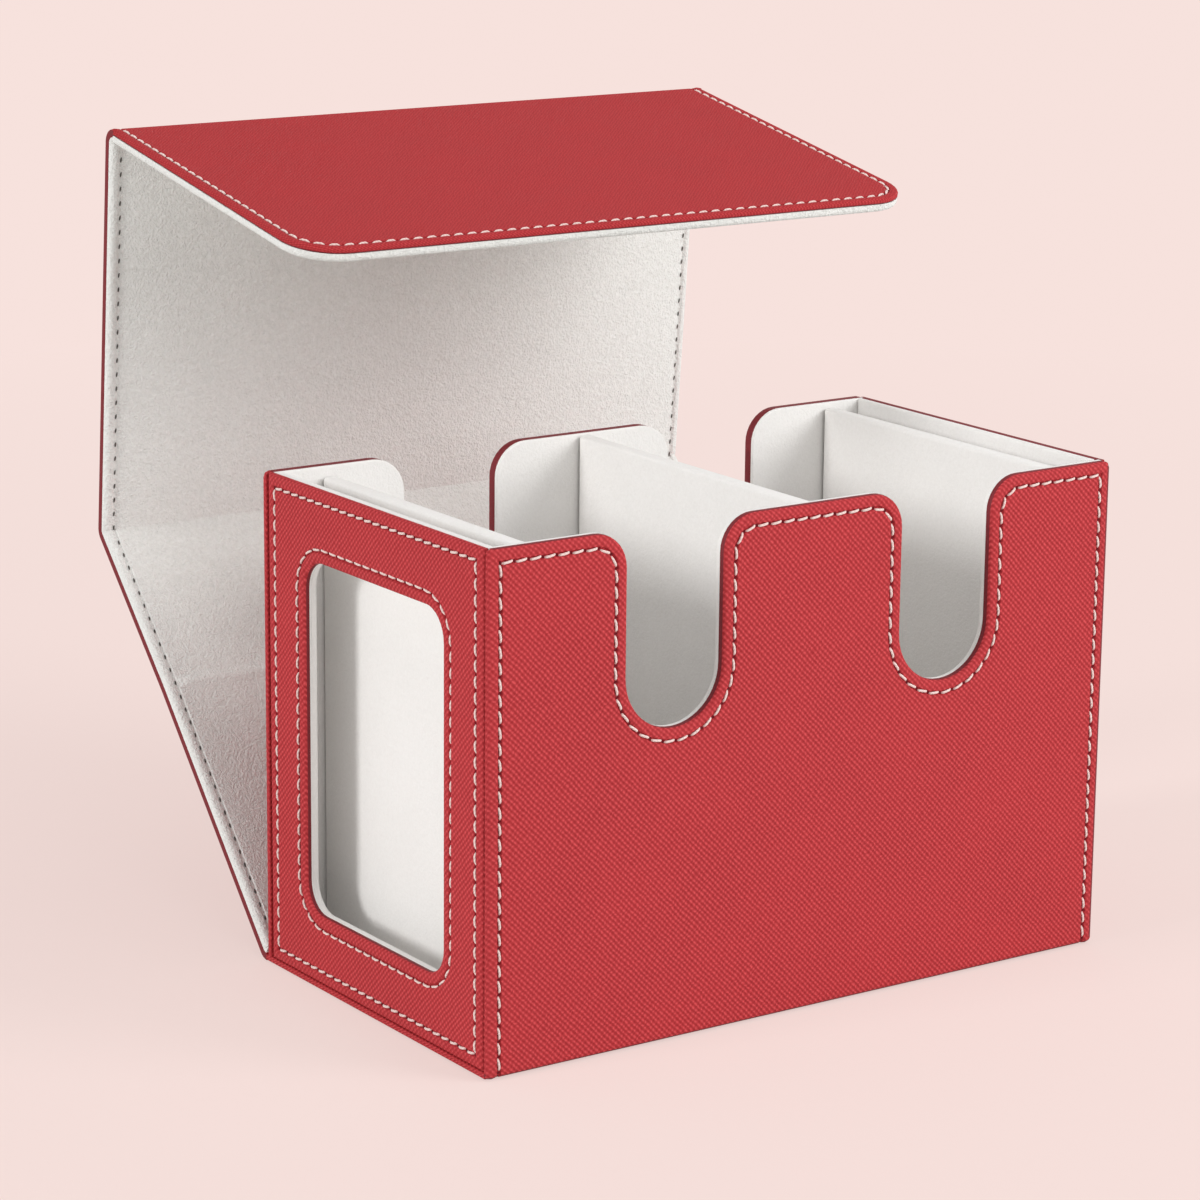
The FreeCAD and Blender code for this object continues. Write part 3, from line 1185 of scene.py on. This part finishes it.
@dataclass
class NeedleDashes(NeedleRows):
    """Small dashes on the lining, where a seam comes through, painted dark grey as the needle holes' shade.
    """

    length: float = 1.1
    width: float = 0.38
    rim: float = 0.12
    depth: float = 0.03
    sides: int = 8
    rise: float = 0.1
    slant: float = -8.0

    def dash(self) -> Workpiece:
        """Model one dash, slightly hollow."""
        piece = Workpiece.begin("dash", bpy.ops.mesh.primitive_circle_add, vertices=self.sides, radius=0.5,
                                fill_type="NGON")
        piece.hollow(self.rim, self.depth, (self.length, self.width, 1.0))
        piece.paint(DASH_SHADE)
        return piece

    def sew(self, place: Matrix) -> Workpiece:
        """Copy the dash along the rows of a panel at this place, and join the copies."""
        dash = self.dash()
        level = self.rise - SIZES.lining_depth
        spots = [(dash, self.spot(start, level, run, self.slant)) for start, run in self.runs()]
        return self.join((dash,), spots, place)


# Places


def upright(turn: float, x: float = 0.0, y: float = 0.0) -> Matrix:
    """Place in metres of a standing panel, turned in degrees, its inner face at a point in millimetres."""
    spin = Matrix.Rotation(math.radians(turn), 4, "Z") @ Matrix.Rotation(math.pi / 2, 4, "X")
    return Matrix.Translation((x * MM, y * MM, 0.0)) @ spin


def folded(angle: float, start: Vector) -> Matrix:
    """Place of a lid panel that rises at an angle from a point in the side plane, in millimetres."""
    return Matrix.Translation(start * MM) @ Matrix.Rotation(math.radians(angle), 4, "X")


# Box


@dataclass
class Base:
    """Base of the box: leather underneath, which comes down from the front wall and runs on to the lid."""

    rear: float = 40.85
    bend_steps: int = 8
    lining_roll: float = 0.3
    shade_paint_from: float = 0.6

    def build(self) -> None:
        """Build the base's sheets and the bend at its front."""
        place = Matrix.Translation((0.0, 0.0, SIZES.wall * MM))
        half = SIZES.depth / 2
        cover = Panel(SIZES.half, SIZES.leather - half, self.rear, True, True)
        leather = leather_cover("base_cover", cover, Grain.FALLING, BASE_EDGE, False)
        leather.fit(place, "box", "red_leather", "base_leather")
        inner = Panel(SIZES.half - SIZES.leather, SIZES.leather - half, half - SIZES.leather)
        lining = lining_sheet("base_inside", inner, SIZES.core, self.lining_roll)
        lining.fit(place, "box", "white_lining", "base_lining")
        strip = Panel(SIZES.half, -SIZES.overrun, 0.0, True, True)
        bend = leather_cover("front_bottom_bend", strip, Grain.FALLING, FRONT_EDGE)
        bent_strip(bend, -SIZES.core, 90.0, self.bend_steps)
        dress_bend(bend, -SIZES.core, Grain.FALLING)
        upside_down = Matrix.Translation((0.0, SIZES.leather * MM, 0.0)) @ Matrix.Rotation(math.pi, 4, "Z")
        bend.put(upright(180.0, y=SIZES.wall - half) @ upside_down)
        # The bend's faces that turn down to the floor get the dark edge finish: painted shade, a dark line
        # along the box's foot.
        bend.paint_faces(1, lambda face: face.normal.z < -self.shade_paint_from)
        bend.ride("box", "red_leather", "base_leather")


@dataclass
class TabbedWall:
    """Front or back wall, with its tabs and thumb notches."""

    name: str
    turn: float
    inner_y: float
    edge: Edge
    lining: float
    lining_roll: float
    shade_from: float = 0.15

    def build(self) -> None:
        """Build the wall's sheets and its seam."""
        place = upright(self.turn, y=self.inner_y)
        cover = TabbedPanel(SIZES.half, SIZES.leather, SIZES.height, folds_low=True)
        leather = leather_cover(f"{self.name}_cover", cover, Grain.FALLING, self.edge)
        leather.put(place)
        # The roll on the side facing +x also gets the dark edge finish: painted shade along that edge.
        shaded = (SIZES.half - self.edge.roll) * MM
        leather.paint_faces(1, lambda face: face.normal.x > self.shade_from and face.center.x > shaded)
        leather.ride("box", "red_leather", f"{self.name}_leather")
        inner = TabbedPanel(SIZES.half - SIZES.leather, SIZES.wall, SIZES.height, folds_low=True)
        # The cover turned over the board's edge takes the dark edge finish: cut leather, partly painted
        # shade.
        edge = turned_edge(f"{self.name}_edge", inner, SIZES.core - self.lining, CUT_EDGE_AND_SHADE)
        edge.fit(place, "box", "red_leather", f"{self.name}_leather")
        lining = lining_sheet(f"{self.name}_inside", inner, self.lining, self.lining_roll)
        lining.fit(place, "box", "white_lining", f"{self.name}_lining")
        seam = Seam(f"{self.name}_seam", [SeamPath(run) for run in cover.seam(SIZES.seam)])
        seam.sew(place).ride("box", "seam_thread", f"{self.name}_stitching")


@dataclass
class EndWall:
    """End of the box between the front and back walls, with or without a window."""

    name: str
    turn: float
    inner_x: float
    window: bool
    edge: Edge
    lining: float
    lining_roll: float = 0.6
    window_seam: float = 2.9
    groove: float = 0.3
    foot_gap: float = 0.05
    rim_width: float = 0.46
    rim_slant: float = 4.0

    def build(self) -> None:
        """Build the end's sheets and its seams."""
        place = upright(self.turn, x=self.inner_x)
        shape = WindowPanel if self.window else Panel
        half = SIZES.depth / 2
        reach = half - SIZES.leather - SIZES.seam_gap - self.groove
        cover = shape(reach, SIZES.leather + self.foot_gap, SIZES.height)
        leather = leather_cover(f"{self.name}_cover", cover, Grain.RISING, self.edge)
        leather.fit(place, "box", "red_leather", f"{self.name}_leather")
        inner = shape(half - SIZES.wall, SIZES.wall, SIZES.height)
        turned = SIZES.core - self.lining
        # The plain end's turned cover takes the dark edge finish, partly painted shade; the window end's is
        # lining.
        finish = FLAT_LINING if self.window else CUT_EDGE_AND_SHADE
        slot, sheet = ("white_lining", "lining") if self.window else ("red_leather", "leather")
        plain = Panel(inner.half_width, inner.low, inner.high)
        edge = turned_edge(f"{self.name}_edge", plain, turned, finish)
        edge.fit(place, "box", slot, f"{self.name}_{sheet}")
        if self.window:
            rim = turned_edge("window_edge", inner.rim(SIZES.turn_in), turned, FLAT_LINING)
            rim.fit(place, "box", "white_lining", f"{self.name}_lining")
        lining = lining_sheet(f"{self.name}_inside", inner, self.lining, self.lining_roll)
        lining.fit(place, "box", "white_lining", f"{self.name}_lining")
        border = Seam(f"{self.name}_seam", self._border(cover))
        border.sew(place).ride("box", "seam_thread", f"{self.name}_stitching")
        if self.window:
            rim = SeamPath(cover.window_seam(self.window_seam), closed=True)
            seam = Seam("window_rim_seam", [rim], width=self.rim_width, slant=self.rim_slant)
            seam.sew(place).ride("box", "seam_thread", "window_rim_stitching")

    @staticmethod
    def _border(cover: Panel) -> List[SeamPath]:
        """The four sides of the border seam, which turns square at its corners."""
        side = cover.half_width - SIZES.seam
        low, high = cover.low + SIZES.seam, cover.high - SIZES.seam
        corners = [Corner(-side, low), Corner(side, low), Corner(side, high), Corner(-side, high)]
        return [SeamPath([a, b]) for a, b in zip(corners, corners[1:] + corners[:1])]


@dataclass
class Divider:
    """Upright sheet across the box: a board in a soft white cover."""

    name: str
    body: str
    left: float
    drop: float
    side_gap: float = 0.0
    foot_gap: float = 0.0
    thickness: float = 3.2
    edge: float = 0.75
    shade_paint_from: float = 0.6

    def build(self) -> None:
        """Build the divider's cover, its top and standing edges rounded."""
        half = SIZES.depth / 2 - SIZES.wall - self.side_gap
        low = SIZES.wall + self.foot_gap
        high = SIZES.height - self.drop
        right = self.left + self.thickness
        piece = Workpiece.sheet(f"{self.name}_sleeve", self.left, right, -half, half, low)
        with piece.editing():
            piece.thicken(high - low)
            piece.roll(lambda edge: any(point.co.z > high - NEAR for point in edge.verts), self.edge, 4)
            piece.face_outwards()
        # The faces turned towards the walls get the grey board finish: painted shade, a dark line where the
        # divider meets a wall.
        piece.paint(FLAT_LINING, BOARD_AND_SHADE)
        piece.paint_faces(1, lambda face: abs(face.normal.y) > self.shade_paint_from)
        piece.smooth(SOFT_ANGLE)
        piece.put(Matrix.Identity(4))
        piece.ride(self.body, "white_lining", f"{self.name}_cover")


# Lid


@dataclass
class Lid:
    """The wrap-over lid: a back with a crease, a top and a flap, joined by soft folds."""

    hinge: Tuple[float, float] = (40.85, 3.0)
    lower_length: float = 60.0
    upper_length: float = 37.6
    top_length: float = 81.7
    flap_length: float = 78.2
    lower_angle: float = 48.4
    crease: float = 2.05
    top_fold: float = 48.4
    flap_fold: float = 95.94
    crease_reach: float = 2.2
    crease_ridge: float = 0.4
    ridge_half: float = 67.5
    ridge_near: float = 0.05
    ridge_floor: float = -0.6
    lining: float = SIZES.core - SIZES.lid_wrap
    lining_roll: float = 1.1
    hinge_seam_gap: float = 6.0
    crease_seam_gap: float = 0.1
    fold_seam_gap: float = 0.4
    bend_level: float = -2.0
    fold_core: float = 0.3
    fold_steps: int = 10

    def __post_init__(self) -> None:
        """Work out where each panel starts and how it leans."""
        self.upper_angle = self.lower_angle - self.crease
        self.top_angle = self.upper_angle + self.top_fold
        self.flap_angle = self.top_angle + self.flap_fold
        self.start = Vector((0.0, self.hinge[0], self.hinge[1]))
        self.crease_point = self.along(self.start, self.lower_angle, self.lower_length, -SIZES.wall)
        self.upper_start = self.along(self.crease_point, self.upper_angle, 0.0, SIZES.wall)
        self.top_start = self.along(self.upper_start, self.upper_angle, self.upper_length)
        self.flap_start = self.along(self.top_start, self.top_angle, self.top_length)

    @staticmethod
    def along(start: Vector, angle: float, distance: float, level: float = 0.0) -> Vector:
        """Point at a distance along a leaning panel, at a level above its inner face."""
        return start + Matrix.Rotation(math.radians(angle), 3, "X") @ Vector((0.0, distance, level))

    def build(self) -> None:
        """Build the panels, then the folds between them."""
        self.build_back()
        self.build_top()
        self.build_flap()
        self.build_fold("base_fold", self.start, 0.0, self.lower_angle, ["box", "lid_lower"])
        self.build_fold("top_spine", self.top_start, self.upper_angle, self.top_angle,
                        ["lid_upper", "top_spine", "lid_top"])
        self.build_fold("flap_spine", self.flap_start, self.top_angle, self.flap_angle,
                        ["lid_top", "flap_spine", "flap"])

    def build_back(self) -> None:
        """Build the back as one sheet of leather and one of lining, both bent along the crease."""
        place = folded(self.lower_angle, self.start)
        panel = Panel(SIZES.half, 0.0, self.lower_length + self.upper_length, True, True)
        leather = leather_cover("lid_back_cover", panel, Grain.FINE, LID_EDGE)
        lining = lining_sheet("lid_back_inside", panel, self.lining, self.lining_roll, True)
        bend_from = self.along(self.start, self.lower_angle, self.lower_length - self.crease_reach) * MM
        bend_to = self.along(self.upper_start, self.upper_angle, self.crease_reach) * MM
        for piece, slot, sheet in ((leather, "red_leather", "leather"), (lining, "white_lining", "lining")):
            self._crease(piece)
            piece.put(place)
            nodes = [f"{body}_{sheet}" for body in ("lid_lower", "lid_upper")]
            piece.bend("lid_lower", "lid_upper", bend_from, bend_to, slot, *nodes)
        self._sew_sides("lid_lower", place, self.hinge_seam_gap, self.lower_length - self.crease_seam_gap)
        self._sew_sides("lid_upper", folded(self.upper_angle, self.upper_start), self.crease_seam_gap,
                        self.upper_length)

    def _crease(self, piece: Workpiece) -> None:
        """Bend a flat back sheet along its crease, which stands up a little on the lining."""
        middle = self.lower_length
        steps = [self.crease_reach * share / 4 for share in range(-4, 5)]
        with piece.editing():
            for step in steps:
                piece.cut("y", middle + step)
            for side in (-1.0, 1.0):
                piece.cut("x", side * self.ridge_half)
            for step in steps[1:-1]:
                rise = self.crease_ridge * math.cos(step / self.crease_reach * math.pi / 2) ** 2
                at = middle + step
                piece.pick(Element.POINT, lambda point: self._on_crease(point.co, at))
                bpy.ops.transform.translate(value=(0.0, 0.0, rise))
            piece.pick(Element.POINT, lambda point: point.co.y > middle + NEAR)
            bpy.ops.transform.rotate(value=math.radians(self.crease), orient_axis="X",
                                     center_override=(0.0, middle, -SIZES.wall))
        piece.smooth()

    def _on_crease(self, point: Vector, at: float) -> bool:
        """Whether a point lies on the lining's face at a distance along the back, inside the seams."""
        inside = abs(point.x) < self.ridge_half + NEAR
        return inside and abs(point.y - at) < self.ridge_near and point.z > self.ridge_floor

    def build_top(self) -> None:
        """Build the top panel."""
        place = folded(self.top_angle, self.top_start)
        panel = Panel(SIZES.half, 0.0, self.top_length, True, True)
        self._build_sheets("lid_top", panel, place, LID_EDGE, self.lining)
        self._sew_sides("lid_top", place, self.fold_seam_gap, self.top_length - self.fold_seam_gap)

    def build_flap(self) -> None:
        """Build the flap, with its seam round the free corners."""
        place = folded(self.flap_angle, self.flap_start)
        panel = FlapPanel(SIZES.half, 0.0, self.flap_length, folds_low=True)
        self._build_sheets("flap", panel, place, FLAP_EDGE, SIZES.core)
        self._sew("flap", place, [SeamPath(panel.seam(SIZES.lid_seam))])

    def _build_sheets(self, body: str, panel: Panel, place: Matrix, edge: Edge, lining: float) -> None:
        """Build the leather of a lid panel, and its lining of some thickness."""
        leather = leather_cover(f"{body}_cover", panel, Grain.FINE, edge)
        leather.fit(place, body, "red_leather", f"{body}_leather")
        inside = lining_sheet(f"{body}_inside", panel, lining, self.lining_roll, True)
        inside.fit(place, body, "white_lining", f"{body}_lining")

    @staticmethod
    def _sew(body: str, place: Matrix, rows: List[SeamPath]) -> None:
        """Sew a lid panel along rows: stitches on the leather, dashes on the lining."""
        Seam(f"{body}_seam", rows).sew(place).ride(body, "seam_thread", f"{body}_stitching")
        NeedleDashes(f"{body}_dashes", rows).sew(place).ride(body, "white_lining")

    def _sew_sides(self, body: str, place: Matrix, low: float, high: float) -> None:
        """Sew a lid panel's two sides."""
        side = SIZES.half - SIZES.lid_seam
        self._sew(body, place, [SeamPath([Corner(x, low), Corner(x, high)]) for x in (-side, side)])

    def build_fold(self, name: str, axis: Vector, first: float, last: float, bodies: List[str]) -> None:
        """Build a soft fold, one bent strip of leather and one of lining for each pair of bodies it joins.

        Args:
            name: Name of the fold and of its nodes.
            axis: Point of its axis in the side plane.
            first: Lean of the panel before it.
            last: Lean of the panel after it.
            bodies: Bodies that it joins, in order.
        """
        pairs = list(zip(bodies, bodies[1:]))
        step = (last - first) / len(pairs)
        for place, (before, after) in enumerate(pairs):
            start, end = first + step * place, first + step * (place + 1)
            for sheet, slot in (("leather", "red_leather"), ("lining", "white_lining")):
                suffix = f"_{place + 1}" if len(pairs) > 1 else ""
                piece = self._bent_strip(f"{name}_{sheet}_bend{suffix}", sheet == "leather", step)
                piece.put(folded(start, axis))
                ends = [self.along(axis, angle, 0.0, self.bend_level) * MM for angle in (start, end)]
                piece.bend(before, after, ends[0], ends[1], slot, f"{name}_{sheet}")

    def _bent_strip(self, name: str, outside: bool, angle: float) -> Workpiece:
        """Spin a sheet's cross-section about a fold's axis.

        Args:
            name: Name of the piece.
            outside: Whether it is the leather, and not the lining.
            angle: Turn of the fold in degrees.

        Returns:
            The strip, starting under the axis.
        """
        panel = Panel(SIZES.half, -SIZES.overrun, 0.0, True, True)
        if outside:
            piece = leather_cover(name, panel, Grain.FINE, LID_EDGE)
            bent_strip(piece, 0.0, angle, self.fold_steps)
            dress_bend(piece, 0.0, Grain.FINE)
            return piece
        piece = lining_sheet(name, panel, self.lining, self.lining_roll, True)
        with piece.editing():
            piece.pick(Element.POINT, lambda point: point.co.z > -self.lining_roll - NEAR)
            bpy.ops.transform.translate(value=(0.0, 0.0, -self.fold_core))
        bent_strip(piece, 0.0, angle, self.fold_steps)
        piece.smooth(SOFT_ANGLE)
        return piece


# Studio


@dataclass
class Studio:
    """Pale pink sweep, soft lights and the camera at the photograph's place."""

    centre: Tuple[float, float, float] = (-0.44865, -0.61941, 0.26155)
    azimuth: float = -34.598
    elevation: float = 13.868
    roll: float = -0.560
    lens: float = 119.81
    sensor: float = 36.0
    clip: float = 0.01
    floor_size: float = 14.0
    floor_drop: float = 0.0003
    sky: float = 0.47
    lit: Tuple[float, float, float] = (0.0, 0.0, 0.07)

    def build(self) -> None:
        """Build the whole studio."""
        self.build_floor()
        self.build_world()
        self.build_light("key", turn=38.0, rise=23.0, spread=30.0, strength=1.73, distance=1.6)
        self.build_light("fill", turn=-94.0, rise=18.0, spread=15.0, strength=1.38)
        self.build_light("top", turn=10.0, rise=60.0, spread=60.0, strength=0.42)
        self.build_camera()
        bpy.context.scene.view_settings.view_transform = "Standard"

    def build_floor(self) -> None:
        """Lay the floor."""
        floor = Workpiece.begin("floor", bpy.ops.mesh.primitive_plane_add, size=self.floor_size,
                                location=(0.0, 0.0, -self.floor_drop))
        floor.paint(FLOOR)

    def build_world(self) -> None:
        """Light the scene evenly, with the backdrop's colour where the camera looks past the floor."""
        world = bpy.data.worlds.new("studio")
        bpy.context.scene.world = world
        world.use_nodes = True
        recipe = Recipe("studio", world.node_tree)
        light = recipe.node("ShaderNodeBackground", {}, {"Color": (1.0, 1.0, 1.0, 1.0), "Strength": self.sky})
        seen = recipe.node("ShaderNodeBackground", {}, {"Color": ink(FLOOR.colour), "Strength": 1.0})
        share = recipe.straight_rays()
        mixed = recipe.node("ShaderNodeMixShader", {}, {0: share, 1: recipe.out(light), 2: recipe.out(seen)})
        recipe.node("ShaderNodeOutputWorld", {}, {"Surface": recipe.out(mixed)})

    def build_light(self, name: str, turn: float, rise: float, spread: float, strength: float,
                    distance: Optional[float] = None) -> None:
        """Hang a soft lamp.

        Args:
            name: Name of the lamp.
            turn: Its direction round the box, from the front towards the right, in degrees.
            rise: Its height above the floor, in degrees.
            spread: Its apparent width in degrees.
            strength: How much light it throws on the box.
            distance: How far it hangs from the box in metres; without it, so far that its light falls evenly.
        """
        tilt = Euler((math.radians(90.0 - rise), 0.0, math.radians(turn)))
        width = math.radians(spread)
        if distance is None:
            bpy.ops.object.light_add(type="SUN", rotation=tilt)
            bpy.context.object.data.angle = width
            bpy.context.object.data.energy = strength
        else:
            hung = Vector(self.lit) + tilt.to_matrix() @ Vector((0.0, 0.0, distance))
            bpy.ops.object.light_add(type="AREA", rotation=tilt, location=hung)
            bpy.context.object.data.shape = "DISK"
            bpy.context.object.data.size = 2 * distance * math.tan(width / 2)
            bpy.context.object.data.energy = strength * math.pi * distance ** 2
        bpy.context.object.name = name

    def build_camera(self) -> None:
        """Set the camera up."""
        turn, rise, lean = (math.radians(angle) for angle in (self.azimuth, self.elevation, self.roll))
        back = Vector((math.sin(turn) * math.cos(rise), -math.cos(turn) * math.cos(rise), math.sin(rise)))
        right = Vector((math.cos(turn), math.sin(turn), 0.0))
        up = back.cross(right)
        leaning_right = right * math.cos(lean) - up * math.sin(lean)
        leaning_up = right * math.sin(lean) + up * math.cos(lean)
        axes = Matrix((leaning_right, leaning_up, back)).transposed().to_4x4()
        bpy.ops.object.camera_add()
        camera = bpy.context.object
        camera.matrix_world = Matrix.Translation(self.centre) @ axes
        camera.data.lens = self.lens
        camera.data.sensor_width = self.sensor
        camera.data.clip_start = self.clip
        bpy.context.scene.camera = camera


def dress_frame() -> None:
    """Dress the nodes of the frame that stay: the boards and the magnets inside the panels."""
    finishes = {"board": BOARD_AND_SHADE, "magnets": MAGNET, "stitching": THREAD, "leather": LEATHER}
    for name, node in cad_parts.items():
        node.data.materials.clear()
        node.data.materials.append(finishes.get(name.rsplit("_", 1)[1], LINING).material())


def main() -> None:
    """Build the box, the lid and the studio in order."""
    logging.basicConfig(level=logging.INFO, format="%(message)s")
    dress_frame()
    half_x, half_y = SIZES.half - SIZES.wall, SIZES.depth / 2 - SIZES.wall
    Base().build()
    TabbedWall("front_wall", 180.0, -half_y, FRONT_EDGE, lining=1.4, lining_roll=0.7).build()
    TabbedWall("back_wall", 0.0, half_y, BACK_EDGE, lining=0.7, lining_roll=0.3).build()
    EndWall("window_end", 90.0, -half_x, True, FRONT_EDGE, lining=1.4).build()
    EndWall("plain_end", -90.0, half_x, False, BACK_EDGE, lining=1.2).build()
    Divider("display_partition", "box", left=-61.85, drop=2.0, side_gap=0.35).build()
    Divider("centre_divider", "centre_divider", left=-1.6, drop=0.3, side_gap=0.3, foot_gap=0.2).build()
    Divider("end_divider", "end_divider", left=61.05, drop=1.1, side_gap=0.3, foot_gap=0.2).build()
    Lid().build()
    Studio().build()


if __name__ == "__main__":
    main()
